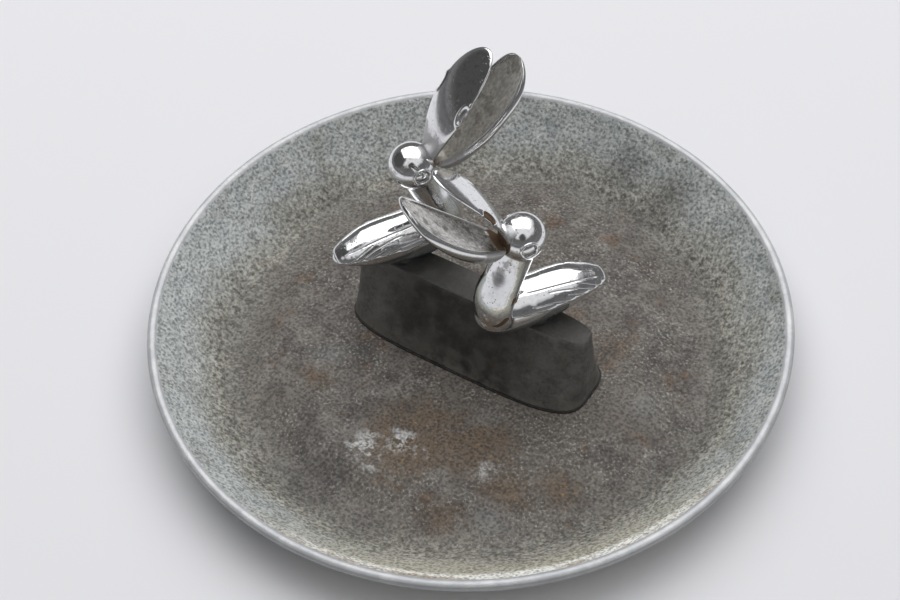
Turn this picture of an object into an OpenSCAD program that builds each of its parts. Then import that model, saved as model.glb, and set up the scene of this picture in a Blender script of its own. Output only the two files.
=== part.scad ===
// Hood ornament: two open-billed birds on a tapered pedestal, on a round rolled-rim dish.
// Origin: centre of the dish's resting plane. +X runs along the pedestal, +Z is up. Millimetres.

/* [Dish] */
// Outside diameter of the dish, over its rolled rim
dish_d = 300; // [270:1:330]
// Thickness of the pressed sheet
sheet = 0.9; // [0.8:0.1:1.2]
// How far the raised floor stands above the ring that the dish rests on
crown_h = 5; // [5:0.5:8]
// Depth of the raised floor below the middle of the rim bead
floor_depth = 18; // [15:0.5:22]
// Diameter of the raised floor
crown_d = 168; // [160:1:180]
// Diameter of the wire rolled into the rim
wire_d = 3; // [2.5:0.1:3.5]

/* [Pedestal] */
// Length of the pedestal at its foot
foot_l = 124; // [120:1:130]
// Width of the pedestal at its foot
foot_w = 42.4; // [40:0.2:46]
// Length of the pedestal at its top
top_l = 121; // [114:1:121]
// Width of the pedestal at its top
top_w = 17; // [16:0.2:22]
// Height of the pedestal above the rim bead
top_over_rim = 22; // [20:0.5:24]
// Wall thickness of the pedestal casting
pedestal_wall = 3; // [2.5:0.1:3.5]
// How far the pedestal stands off the dish's axis, along its own length
pedestal_shift = 3; // [0:0.5:4]
// Thickness of the gasket under the pedestal
gasket_h = 0.8; // [0.5:0.1:1]
// Distance between the two pedestal screws
screw_span = 96; // [90:1:98]

/* [Birds] */
// Turn of the front bird about the dish's axis; the rear one stands half a turn further on
bird_turn = 235.3; // [233:0.1:238]
// Distance of each bird's middle plane from the dish's axis
bird_side = 29.5; // [29:0.1:30]
// Radius of the head
head_r = 10.6; // [10:0.1:11]
// Length of the upper bill
upper_bill_l = 60; // [56:0.5:62]
// Length of the lower bill
lower_bill_l = 61; // [58:0.5:64]
// Widest half width of the upper bill
upper_bill_w = 12.6; // [12:0.1:13.5]
// Widest half width of the lower bill
lower_bill_w = 13.6; // [12.5:0.1:14.5]
// Thickness of the folded wing where its feathers lie deepest
wing_t = 1.8; // [1.6:0.1:2]
// Diameter of an eye
eye_d = 8.8; // [8:0.1:9.4]

/* [Fasteners] */
// Thread diameter of every screw
screw_d = 5; // [5:0.5:6]
// Thickness of every washer
washer_h = 1; // [0.8:0.1:1]
// Clearance around a screw in a plain hole
hole_gap = 0.25; // [0.2:0.05:0.3]

/* [Hidden] */
$fn = 64;

zinc = [0.66, 0.69, 0.70];
wire_grey = [0.45, 0.46, 0.47];
casting_grey = [0.33, 0.33, 0.33];
gasket_black = [0.10, 0.10, 0.10];
chrome = [0.80, 0.81, 0.83];
dull_chrome = [0.60, 0.60, 0.60];
steel = [0.52, 0.52, 0.54];

skin_gap = 0.05;
bead_r = wire_d / 2 + skin_gap + sheet;
bead_at = dish_d / 2 - bead_r;
rim_z = sheet + crown_h + floor_depth;
floor_z = sheet + crown_h;
foot_z = floor_z + gasket_h;
top_z = rim_z + top_over_rim;
// underside of the pedestal's solid top, which the bird screws pass through
ceiling_z = top_z - 9;
// the bird's own frame: X forward, Y to its left, Z from the middle of the rim bead
screw_f = -bird_side / tan(bird_turn);
head_at = [-13.2, 0, 78.2];
screw_xs = [pedestal_shift - screw_span / 2, pedestal_shift + screw_span / 2];
cap_r = 0.9 * screw_d;
cap_h = 0.5 * screw_d;
washer_r = 1.05 * screw_d;
// length of a pedestal screw inside its boss, and of a bird screw inside the bird with its washer
boss_grip = 12;
bird_grip = 22;
// extra depth of each blind screw hole
hole_over = 3;
// radius of the flat foot under each bird
foot_r = 6.5;

// ---- curves and skins ----

// value at t (0 to 1 between p1 and p2) of the smooth curve through four neighbours
function smooth(p0, p1, p2, p3, t) =
    0.5 * (2 * p1 + (p2 - p0) * t + (2 * p0 - 5 * p1 + 4 * p2 - p3) * t * t
        + (3 * p1 - p0 - 3 * p2 + p3) * t * t * t);

// stations refined to n steps between neighbours
function refine(s, n) = [
    for (i = [0:len(s) - 2], k = [0:n - 1])
        smooth(s[max(i - 1, 0)], s[i], s[i + 1], s[min(i + 2, len(s) - 1)], k / n),
    s[len(s) - 1]];

function unit(v) = v / norm(v);

// direction of the spine at station i, in the bird's middle plane
function heading(s, i) =
    let (a = s[max(i - 1, 0)], b = s[min(i + 1, len(s) - 1)]) unit([b[0] - a[0], b[1] - a[1]]);

// skin over rings of points, closed with a flat face at each end
module skin(rings) {
    n = len(rings[0]);
    m = len(rings);
    polyhedron(
        points = [for (r = rings) for (p = r) p],
        faces = concat(
            [[for (k = [0:n - 1]) k]],
            [for (i = [0:m - 2], k = [0:n - 1])
                let (a = i * n + k, b = i * n + (k + 1) % n) [a, a + n, b + n, b]],
            [[for (k = [n - 1:-1:0]) (m - 1) * n + k]]),
        convexity = 6);
}

// body of oval sections; a station is [forward, up, half width, upper half height, lower half height]
function oval_rings(s, n, grow) = [
    for (i = [0:len(s) - 1])
        let (h = heading(s, i))
        [for (k = [0:n - 1])
            let (a = 360 * k / n,
                out = sin(a) * ((sin(a) > 0 ? s[i][3] : s[i][4]) + grow))
            [s[i][0] - h[1] * out, cos(a) * (s[i][2] + grow), s[i][1] + h[0] * out]]];

// shapes that have no bores are worked out as one mesh
module as_one_mesh() {
    resize([0, 0, 0]) children();
}

// ---- dish ----

// The sheet's middle line runs from the axis over the raised floor, down to the resting ring,
// up the wall and round the wire; the section is that line thickened to both sides.
// inner and outer radius of the resting ring
ring_in = 106;
ring_out = 114;
// slope of the wall at its top, and how far the sheet curls round the wire, in degrees
wall_rise = 42;
curl_turn = 275;
curl_r = wire_d / 2 + skin_gap + sheet / 2;
wall_end = [bead_at - curl_r * sin(wall_rise), rim_z + curl_r * cos(wall_rise)];
wall_bend = [wall_end[0] - (wall_end[1] - sheet / 2) / tan(wall_rise), sheet / 2];

function ease(t) = (1 - cos(180 * t)) / 2;
function bend(a, b, c, t) = (1 - t) * (1 - t) * a + 2 * t * (1 - t) * b + t * t * c;

dish_line = concat(
    [[0, crown_h + sheet / 2], [60, crown_h + sheet / 2]],
    [for (i = [0:12]) let (t = i / 12)
        [crown_d / 2 + (ring_in - crown_d / 2) * t, sheet / 2 + crown_h * (1 - ease(t))]],
    [[ring_in + 1, sheet / 2], [ring_out - 1, sheet / 2]],
    [for (i = [0:14]) bend([ring_out, sheet / 2], wall_bend, wall_end, i / 14)],
    [for (i = [1:24]) let (a = 90 + wall_rise - curl_turn * i / 24)
        [bead_at + curl_r * cos(a), rim_z + curl_r * sin(a)]]);

function beside(line, i, off) =
    let (h = i == 0 ? [1, 0] : heading(line, i)) [line[i][0] - h[1] * off, line[i][1] + h[0] * off];

module dish_section() {
    last = len(dish_line) - 1;
    polygon(concat([for (i = [0:last]) beside(dish_line, i, sheet / 2)],
        [for (i = [last:-1:0]) beside(dish_line, i, -sheet / 2)]));
}

module dish_pan() {
    color(zinc) difference() {
        rotate_extrude($fn = 128) dish_section();
        for (x = screw_xs)
            translate([x, 0, 0]) cylinder(d = screw_d + 2 * hole_gap, h = floor_z + 1);
    }
}

module rim_wire() {
    color(wire_grey) rotate_extrude($fn = 128) translate([bead_at, rim_z]) circle(wire_d / 2);
}

// ---- pedestal ----

// how square the pedestal's outline is (2 is an ellipse) and how hollow its sides are (1 is flat)
squareness = 3.8;
hollowness = 1.3;

// rounded oblong of half sizes a and b at height z
function oblong(a, b, z, n) = [
    for (k = [0:n - 1])
        let (t = 360 * k / n, c = cos(t), s = sin(t), e = 2 / squareness)
        [pedestal_shift + a * sign(c) * pow(abs(c), e), b * sign(s) * pow(abs(s), e), z]];

// half length and half width of the pedestal at a share u of its height
function pedestal_a(u) = foot_l / 2 + (top_l - foot_l) / 2 * (1 - pow(1 - u, hollowness));
function pedestal_b(u) = foot_w / 2 + (top_w - foot_w) / 2 * (1 - pow(1 - u, hollowness));

module pedestal_shell() {
    h = top_z - foot_z;
    edge = 1.5;
    n = 56;
    difference() {
        skin(concat(
            [for (i = [0:6])
                let (u = i / 6 * (1 - edge / h)) oblong(pedestal_a(u), pedestal_b(u), foot_z + u * h, n)],
            [for (t = [30, 60, 90])
                oblong(pedestal_a(1) - edge * (1 - cos(t)), pedestal_b(1) - edge * (1 - cos(t)),
                    top_z - edge * (1 - sin(t)), n)]));
        skin([for (i = [0:4])
            let (u = i / 4 * (ceiling_z - foot_z) / h)
            oblong(pedestal_a(u) - pedestal_wall, pedestal_b(u) - pedestal_wall,
                i == 0 ? foot_z - 1 : foot_z + u * h, n)]);
    }
}

module pedestal() {
    boss_r = screw_d;
    boss_h = ceiling_z - foot_z + 1;
    color(casting_grey) difference() {
        union() {
            as_one_mesh() pedestal_shell();
            for (x = screw_xs)
                translate([x, 0, foot_z]) cylinder(r = boss_r, h = boss_h);
        }
        for (x = screw_xs)
            translate([x, 0, foot_z - 1]) cylinder(d = screw_d, h = 1 + boss_grip + hole_over);
        both_birds() translate([screw_f, 0, -rim_z + ceiling_z - 1])
            cylinder(d = screw_d + 2 * hole_gap, h = 12);
    }
}

module pedestal_gasket() {
    color(gasket_black) difference() {
        as_one_mesh() skin([for (z = [floor_z, foot_z]) oblong(foot_l / 2 + 0.6, foot_w / 2 + 0.6, z, 56)]);
        for (x = screw_xs)
            translate([x, 0, floor_z - 1]) cylinder(d = screw_d + 2 * hole_gap, h = gasket_h + 2);
    }
}

// ---- fasteners ----

// screw with a domed head, its head's seat at z = 0 and its shank upwards
module cap_screw(length) {
    difference() {
        union() {
            rotate_extrude() polygon(concat([[0, 0], [cap_r, 0]],
                [for (t = [0:15:75]) [cap_r * cos(t) * 0.999, -cap_h * sin(t)]], [[0, -cap_h]]));
            cylinder(d = screw_d, h = length);
        }
        translate([0, 0, -cap_h - 1])
            cylinder(d = 0.6 * screw_d * 2 / sqrt(3), h = 1 + cap_h * 0.7, $fn = 6);
    }
}

module washer() {
    difference() {
        cylinder(r = washer_r, h = washer_h);
        translate([0, 0, -1]) cylinder(d = screw_d + 2 * hole_gap, h = washer_h + 2);
    }
}

module pedestal_screws() {
    color(steel) for (x = screw_xs)
        translate([x, 0, crown_h - washer_h]) cap_screw(washer_h + sheet + gasket_h + boss_grip);
}

module pedestal_washers() {
    color(steel) for (x = screw_xs)
        translate([x, 0, crown_h - washer_h]) washer();
}

// ---- birds ----

module front_bird() {
    translate([0, 0, rim_z]) rotate(bird_turn) translate([0, bird_side, 0]) children();
}

module rear_bird() {
    rotate(180) front_bird() children();
}

module both_birds() {
    front_bird() children();
    rear_bird() children();
}

// tail and belly, from the tail tip to the breast
trunk_stations = [
    [-54.2, 34.0, 1.0, 0.8, 0.8],
    [-53.0, 34.0, 3.4, 2.5, 2.0],
    [-50.0, 34.2, 5.3, 4.1, 3.3],
    [-46.0, 34.4, 6.8, 5.7, 4.6],
    [-35.0, 34.6, 9.4, 9.2, 9.4],
    [-20.0, 34.0, 10.6, 10.6, 11.7],
    [-6.0, 34.0, 10.8, 11.0, 11.4],
    [2.0, 35.0, 9.6, 9.4, 9.2],
    [7.0, 36.4, 6.0, 6.0, 6.0],
    [8.6, 37.0, 2.0, 2.0, 2.0]];

// breast and neck, from below the breast to the middle of the head
neck_stations = [
    [-6.0, 25.8, 3.6, 3.0, 3.0],
    [-5.0, 28.4, 8.4, 4.4, 7.8],
    [-3.0, 35.0, 11.0, 4.6, 11.2],
    [-2.0, 43.0, 11.6, 4.2, 11.2],
    [-4.6, 54.0, 10.2, 6.2, 9.6],
    [-8.6, 65.0, 8.8, 7.8, 8.6],
    [-13.2, 78.0, 8.6, 8.2, 8.4]];

trunk_fine = refine(trunk_stations, 3);

module trunk() {
    skin(oval_rings(trunk_fine, 36, 0));
}

module neck() {
    skin(oval_rings(refine(neck_stations, 3), 36, 0));
}

// a bill: [root, rise of the root-to-tip line, length, bow at mid length, widest half width,
// share of that width at the root, how bluntly it widens, depth of the back at the root,
// share of that depth lost at the tip, side of the back, roll of the lip, bluntness of the tip]
upper_bill = [[-5.3, 80.1], 58.6, upper_bill_l, 4.2, upper_bill_w, 0.36, 1, 4.2, 0.6, 1, 1.3, 2.2];
lower_bill = [[-3.6, 79.0], 44.5, lower_bill_l, -3.1, lower_bill_w, 0.42, 0.55, 13, 0.75, -1, 2.6, 3];
// share of a bill's length where it is widest, height of its lip, and crown of its inner face
widest_at = 0.55;
lip_h = 0.7;
hollow_h = 1.9;

// half width of bill b at a share t of its length: narrow root, leaf-shaped middle, round tip
function bill_w(b, t) = b[4] * (t < widest_at
    ? b[5] + (1 - b[5]) * pow(sin(90 * t / widest_at), b[6])
    : sqrt(max(1 - pow((t - widest_at) / (1 - widest_at), b[11]), 0.0004)));

function bill_ring(b, t, n) =
    let (c = cos(b[1]), s = sin(b[1]),
        off = b[3] * 4 * t * (1 - t),
        w = bill_w(b, t),
        deep = b[7] * pow(w / b[4], 0.5) * (1 - b[8] * t),
        lip = min(lip_h, deep / 3),
        roll = min(b[10], 0.42 * w, 0.6 * deep))
    [for (k = [0:n - 1])
        let (a = 360 * k / n,
            near = max(0, 1 - w * (1 - abs(cos(a))) / roll),
            rise = roll * (1 - sqrt(1 - near * near)),
            inner = -lip + rise + hollow_h * (w / b[4]) * pow(sin(a), 2) * (1 - near),
            y = sin(a) >= 0 ? roll - lip + (deep - roll + lip) * sin(a) : inner,
            u = off + b[9] * y)
        [b[0][0] + t * b[2] * c - u * s, b[9] * w * cos(a), b[0][1] + t * b[2] * s + u * c]];

module bill(b) {
    steps = concat([0, 0.02, 0.04], [for (i = [1:14]) i / 16], [0.915, 0.95, 0.975, 0.992, 1]);
    skin([for (t = steps) bill_ring(b, t, 32)]);
}

module bird_body() {
    color(chrome) difference() {
        union() {
            as_one_mesh() union() {
                trunk();
                neck();
                translate(head_at) sphere(head_r, $fn = 40);
            }
            // flat foot on the pedestal
            translate([screw_f, 0, top_over_rim]) cylinder(r = foot_r, h = 8);
        }
        translate([screw_f, 0, ceiling_z - rim_z - 1]) cylinder(d = screw_d, h = 1 + bird_grip);
        for (side = [-1, 1])
            at_eye(side) translate([0, 0, -eye_seat]) cylinder(d = eye_d, h = 8);
    }
}

module bird_upper_bill() {
    color(chrome) as_one_mesh() difference() {
        bill(upper_bill);
        translate(head_at) sphere(head_r + skin_gap, $fn = 48);
    }
}

module bird_lower_bill() {
    color(dull_chrome) as_one_mesh() difference() {
        bill(lower_bill);
        translate(head_at) sphere(head_r + skin_gap, $fn = 48);
        bill(upper_bill);
    }
}

// the trunk's section at forward position f
function trunk_at(f, i = 0) =
    i > len(trunk_fine) - 3 || trunk_fine[i + 1][0] >= f
        ? let (a = trunk_fine[i], b = trunk_fine[i + 1]) a + (b - a) * (f - a[0]) / (b[0] - a[0])
        : trunk_at(f, i + 1);

function trunk_point(f, a, grow) =
    let (t = trunk_at(f))
    [f, cos(a) * (t[2] + grow), t[1] + sin(a) * ((sin(a) > 0 ? t[3] : t[4]) + grow)];

// A folded wing is a shell on the trunk's flank, from its ridge down towards its belly. Its front
// edge slants round the root of the neck and its rear edge stops short of the tail's end.
wing_angles = [87, 80, 70, 60, 50, 40, 30, 20, 12];
wing_points = 24;
// thickness at the wing's edges, and clearance between the wing and the trunk
wing_edge = 0.5;
wing_gap = 0.15;

function wing_front(a) = -4.5 - 4.5 * sin(a);
wing_rear = -52.6;

function wing_ring(a) =
    let (n = wing_points - 1,
        lift = min(1, 0.2 + (a - wing_angles[len(wing_angles) - 1]) / 12),
        at = [for (k = [0:n]) wing_front(a) + (wing_rear - wing_front(a)) * ease(k / n)])
    concat(
        [for (k = [0:n]) trunk_point(at[k], a, wing_gap)],
        [for (k = [n:-1:0])
            let (rise = min(1, 0.2 + 0.16 * min(k, n - k)))
            trunk_point(at[k], a, wing_gap + wing_edge + (wing_t - wing_edge) * lift * rise)]);

// closed shell over rings whose first half lies on the inner side and second half on the outer
// side; each end is a strip of small faces from the one side to the other
module shell(rings) {
    n = len(rings[0]);
    m = len(rings);
    last = (m - 1) * n;
    polyhedron(
        points = [for (r = rings) for (p = r) p],
        faces = concat(
            [for (k = [0:n / 2 - 2]) [k, k + 1, n - 2 - k, n - 1 - k]],
            [for (i = [0:m - 2], k = [0:n - 1])
                let (a = i * n + k, b = i * n + (k + 1) % n) [a, a + n, b + n, b]],
            [for (k = [0:n / 2 - 2]) [last + n - 1 - k, last + n - 2 - k, last + k + 1, last + k]]),
        convexity = 6);
}

module bird_wing(side) {
    color(chrome) mirror([0, side > 0 ? 0 : 1, 0]) shell([for (a = wing_angles) wing_ring(a)]);
}

// middle of the left eye in the bird's own frame, depth of its seat, and turn of its axis from up
eye_at = [-12.2, 9.6, 79.0];
eye_seat = 3;
eye_turn = 84;

// an eye's own frame: its middle at the origin, looking along +Z
module at_eye(side) {
    translate([eye_at[0], side * eye_at[1], eye_at[2]]) rotate([-side * eye_turn, 0, 0]) children();
}

module bird_eye(side) {
    r = eye_d / 2;
    ring = 0.6;
    color(chrome) at_eye(side) rotate_extrude() polygon(concat(
        [[0, -eye_seat], [r, -eye_seat]],
        [for (t = [0:30:180]) [r - ring + ring * cos(t), ring * sin(t)]],
        [[r - 2 * ring, -0.5]],
        [for (t = [0:15:90]) [(r - 2 * ring - 0.2) * cos(t), -0.5 + 1.1 * sin(t)]]));
}

module bird_screw() {
    color(steel) translate([screw_f, 0, ceiling_z - washer_h - rim_z]) cap_screw(washer_h + bird_grip);
}

module bird_washer() {
    color(steel) translate([screw_f, 0, ceiling_z - washer_h - rim_z]) washer();
}

dish_pan();
rim_wire();
pedestal();
pedestal_gasket();
pedestal_screws();
pedestal_washers();
front_bird() bird_body();  // front_bird_body
front_bird() bird_upper_bill();  // front_bird_upper_bill
front_bird() bird_lower_bill();  // front_bird_lower_bill
front_bird() bird_wing(1);  // front_bird_left_wing
front_bird() bird_wing(-1);  // front_bird_right_wing
front_bird() bird_eye(1);  // front_bird_left_eye
front_bird() bird_eye(-1);  // front_bird_right_eye
front_bird() bird_screw();  // front_bird_screw
front_bird() bird_washer();  // front_bird_washer
rear_bird() bird_body();  // rear_bird_body
rear_bird() bird_upper_bill();  // rear_bird_upper_bill
rear_bird() bird_lower_bill();  // rear_bird_lower_bill
rear_bird() bird_wing(1);  // rear_bird_left_wing
rear_bird() bird_wing(-1);  // rear_bird_right_wing
rear_bird() bird_eye(1);  // rear_bird_left_eye
rear_bird() bird_eye(-1);  // rear_bird_right_eye
rear_bird() bird_screw();  // rear_bird_screw
rear_bird() bird_washer();  // rear_bird_washer
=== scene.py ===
import math

import bmesh
import bpy
import numpy as np
from mathutils import Matrix, Vector


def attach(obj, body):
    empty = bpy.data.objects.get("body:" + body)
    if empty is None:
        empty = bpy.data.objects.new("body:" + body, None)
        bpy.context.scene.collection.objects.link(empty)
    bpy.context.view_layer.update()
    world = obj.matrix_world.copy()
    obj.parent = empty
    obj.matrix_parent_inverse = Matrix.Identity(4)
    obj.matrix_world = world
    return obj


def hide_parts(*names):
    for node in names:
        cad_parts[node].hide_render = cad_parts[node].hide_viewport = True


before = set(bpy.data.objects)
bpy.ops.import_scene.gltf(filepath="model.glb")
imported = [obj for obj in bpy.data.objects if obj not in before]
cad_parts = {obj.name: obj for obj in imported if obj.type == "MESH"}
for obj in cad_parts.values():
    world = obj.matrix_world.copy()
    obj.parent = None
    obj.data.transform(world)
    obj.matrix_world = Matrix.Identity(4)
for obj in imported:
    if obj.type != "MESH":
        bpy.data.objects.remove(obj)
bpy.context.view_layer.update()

MM = 0.001

# Sizes are in millimetres, and the same as in the CAD.
# the pedestal: its foot and its top, and the radius of the top's edge
FOOT_Z, TOP_Z = 6.7, 45.9
FOOT_L, FOOT_W, TOP_L, TOP_W = 124.0, 42.4, 121.0, 17.0
PEDESTAL_SHIFT = 3.0
TOP_EDGE = 1.5
# power of the pedestal's rounded outline (2 is an ellipse), and how hollow its sides are
SQUARENESS, HOLLOWNESS = 3.8, 1.3

# the dish: sheet thickness, raised floor, resting ring, and the wall up to its curled bead
SHEET = 0.9
CROWN_H, CROWN_R = 5.0, 84.0
RING_IN, RING_OUT = 106.0, 114.0
BEAD_AT, RIM_Z, CURL_R = 147.55, 23.9, 2.0
WALL_RISE, CURL_TURN = 42.0, 275.0

# a bird's turn about the dish's axis in degrees, and its middle plane's distance from that axis
BIRD_TURN, BIRD_SIDE = 235.3, 29.5
# places in the bird's own frame: forward, left, and up from the middle of the rim bead
HEAD_AT, HEAD_R = (-13.2, 0.0, 78.2), 10.6
SCREW_F, FOOT_R = -20.43, 6.5
EYE_AT, EYE_D, EYE_TILT = (-12.2, 9.6, 79.0), 8.8, 84
# cell of the remesh that blends a bird's body
VOXEL = 0.45


# ---------------------------------------------------------------- shape helpers
def refine(rows, n):
    """Smooth curve through the rows, with n steps between neighbours."""
    rows = np.array(rows, float)
    last = len(rows) - 1
    out = []
    for i in range(last):
        a, b, c, d = rows[max(i - 1, 0)], rows[i], rows[i + 1], rows[min(i + 2, last)]
        for k in range(n):
            t = k / n
            out.append(0.5 * (2 * b + (c - a) * t + (2 * a - 5 * b + 4 * c - d) * t * t
                              + (3 * b - a - 3 * c + d) * t ** 3))
    out.append(rows[-1])
    return np.array(out)


def step(x, lo, hi):
    """Smooth step from 0 at lo to 1 at hi."""
    t = np.clip((np.asarray(x, float) - lo) / (hi - lo), 0, 1)
    return t * t * (3 - 2 * t)


def value_noise(p, scale, seed):
    """Smooth random field, 0 to 1, over points p of shape (..., 3)."""
    n = 24
    g = np.random.default_rng(seed).random((n, n, n))
    q = np.asarray(p, float) / scale + 100.0
    i = np.floor(q).astype(int)
    f = q - i
    f = f * f * (3 - 2 * f)
    out = 0
    for dx in (0, 1):
        for dy in (0, 1):
            for dz in (0, 1):
                w = (np.where(dx, f[..., 0], 1 - f[..., 0]) * np.where(dy, f[..., 1], 1 - f[..., 1])
                     * np.where(dz, f[..., 2], 1 - f[..., 2]))
                out = out + w * g[(i[..., 0] + dx) % n, (i[..., 1] + dy) % n, (i[..., 2] + dz) % n]
    return out


def oval_rings(s, n):
    """Rings of an oval tube; a station is forward, up, half width, upper and lower half height."""
    d = np.gradient(s[:, :2], axis=0)
    d /= np.linalg.norm(d, axis=1)[:, None]
    a = np.radians(360 * np.arange(n) / n)[None]
    out = np.sin(a) * np.where(np.sin(a) > 0, s[:, 3:4], s[:, 4:5])
    return np.stack([s[:, 0:1] - d[:, 1:2] * out, np.cos(a) * s[:, 2:3], s[:, 1:2] + d[:, 0:1] * out], -1)


def ring_faces(m, n, base=0):
    """Faces over m rings of n points, the first point at index base, with a flat end at each side."""
    faces = []
    for a in range(base, base + (m - 1) * n, n):
        faces += [(a + k, a + (k + 1) % n, a + n + (k + 1) % n, a + n + k) for k in range(n)]
    faces.append(tuple(range(base + n - 1, base - 1, -1)))
    faces.append(tuple(range(base + (m - 1) * n, base + m * n)))
    return faces


def fix_normals(ob):
    bm = bmesh.new()
    bm.from_mesh(ob.data)
    bmesh.ops.recalc_face_normals(bm, faces=bm.faces)
    bm.to_mesh(ob.data)
    bm.free()


def new_mesh(name, points, faces):
    """A smooth-shaded object from points in millimetres."""
    me = bpy.data.meshes.new(name)
    me.from_pydata([tuple(p) for p in np.asarray(points, float) * MM], [], faces)
    me.validate()
    me.update()
    ob = bpy.data.objects.new(name, me)
    bpy.context.scene.collection.objects.link(ob)
    fix_normals(ob)
    me.polygons.foreach_set("use_smooth", [True] * len(me.polygons))
    return ob


def bake(ob):
    """Turns the object's modifiers into plain mesh."""
    bpy.context.view_layer.update()
    me = bpy.data.meshes.new_from_object(ob.evaluated_get(bpy.context.evaluated_depsgraph_get()))
    ob.modifiers.clear()
    ob.data = me
    me.polygons.foreach_set("use_smooth", [True] * len(me.polygons))


def coords(ob):
    """The mesh's points, in millimetres."""
    v = np.empty(len(ob.data.vertices) * 3)
    ob.data.vertices.foreach_get("co", v)
    return v.reshape(-1, 3) / MM


def set_coords(ob, p):
    ob.data.vertices.foreach_set("co", (np.asarray(p) * MM).ravel())
    ob.data.update()


def paint(ob, **layers):
    """Stores masks, 0 to 1, on the points of a mesh for its material."""
    for name, values in layers.items():
        at = ob.data.attributes.new(name, "FLOAT", "POINT")
        at.data.foreach_set("value", np.clip(np.asarray(values, float), 0, 1).ravel())


# ---------------------------------------------------------------- material helpers
class Mat:
    """A Principled material built from nodes; lengths given to its textures are in millimetres."""

    def __init__(self, name, metallic=0.0, roughness=0.5, specular=0.5):
        self.m = bpy.data.materials.new(name)
        self.m.use_nodes = True
        self.t = self.m.node_tree
        self.b = self.t.nodes["Principled BSDF"]
        self.b.inputs["Metallic"].default_value = metallic
        self.b.inputs["Roughness"].default_value = roughness
        self.b.inputs["Specular IOR Level"].default_value = specular
        self.co = self.t.nodes.new("ShaderNodeTexCoord").outputs["Object"]

    def node(self, kind, **kw):
        n = self.t.nodes.new(kind)
        for k, v in kw.items():
            setattr(n, k, v)
        return n

    def put(self, socket, value):
        if hasattr(value, "is_output") or isinstance(value, bpy.types.NodeSocket):
            self.t.links.new(value, socket)
        else:
            socket.default_value = value

    def noise(self, scale, detail=4, rough=0.55, stretch=None, offset=(0, 0, 0)):
        """Noise with features of about scale millimetres."""
        mp = self.node("ShaderNodeMapping")
        self.put(mp.inputs["Vector"], self.co)
        mp.inputs["Scale"].default_value = stretch or (1, 1, 1)
        mp.inputs["Location"].default_value = offset
        n = self.node("ShaderNodeTexNoise")
        self.put(n.inputs["Vector"], mp.outputs[0])
        n.inputs["Scale"].default_value = 1000.0 / scale
        n.inputs["Detail"].default_value = detail
        n.inputs["Roughness"].default_value = rough
        return n.outputs[0]

    def cells(self, scale, offset=(0, 0, 0)):
        """Distance to the nearest of random points that lie about scale millimetres apart."""
        mp = self.node("ShaderNodeMapping")
        self.put(mp.inputs["Vector"], self.co)
        mp.inputs["Location"].default_value = offset
        n = self.node("ShaderNodeTexVoronoi")
        self.put(n.inputs["Vector"], mp.outputs[0])
        n.inputs["Scale"].default_value = 1000.0 / scale
        return n.outputs["Distance"]

    def ramp(self, value, lo, hi, a=0.0, b=1.0):
        """Smooth step from a, where the value is lo, to b, where it is hi."""
        n = self.node("ShaderNodeMapRange", interpolation_type="SMOOTHSTEP")
        for k, v in zip(("Value", "From Min", "From Max", "To Min", "To Max"), (value, lo, hi, a, b)):
            self.put(n.inputs[k], v)
        return n.outputs[0]

    def math(self, op, a, b=0.0):
        n = self.node("ShaderNodeMath", operation=op)
        self.put(n.inputs[0], a)
        self.put(n.inputs[1], b)
        return n.outputs[0]

    def mul(self, a, b):
        return self.math("MULTIPLY", a, b)

    def add(self, a, b):
        return self.math("ADD", a, b)

    def mix(self, f, a, b):
        n = self.node("ShaderNodeMix", data_type="RGBA")
        self.put(n.inputs[0], f)
        for s, v in ((n.inputs[6], a), (n.inputs[7], b)):
            self.put(s, (*v, 1.0) if isinstance(v, tuple) and len(v) == 3 else v)
        return n.outputs[2]

    def over(self, tone, mask, share, colour):
        """Lays that share of a colour over the tone where the mask is 1."""
        return self.mix(self.mul(mask, share), tone, colour)

    def mixf(self, f, a, b):
        n = self.node("ShaderNodeMix", data_type="FLOAT")
        for s, v in zip((n.inputs[0], n.inputs[2], n.inputs[3]), (f, a, b)):
            self.put(s, v)
        return n.outputs[0]

    def attr(self, name):
        return self.node("ShaderNodeAttribute", attribute_name=name).outputs["Fac"]

    def bump(self, height, strength, distance_mm, below=None):
        """Bump of the given height map, on top of the bump below it."""
        n = self.node("ShaderNodeBump")
        n.inputs["Strength"].default_value = strength
        n.inputs["Distance"].default_value = distance_mm * MM
        self.put(n.inputs["Height"], height)
        if below is not None:
            self.put(n.inputs["Normal"], below)
        self.put(self.b.inputs["Normal"], n.outputs[0])
        return n.outputs[0]

    def out(self, tone=None, **kw):
        if tone is not None:
            self.put(self.b.inputs["Base Color"], tone)
        for k, v in kw.items():
            self.put(self.b.inputs[k], v)


def rust_mask(m, speck, share, lo, hi):
    """Ragged rust where the mesh's grime mask is high, and none where that mask is 0."""
    grime = m.attr("grime")
    return m.mul(m.ramp(m.add(grime, m.mul(speck, share)), lo, hi), m.ramp(grime, 0.02, 0.12))


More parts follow.
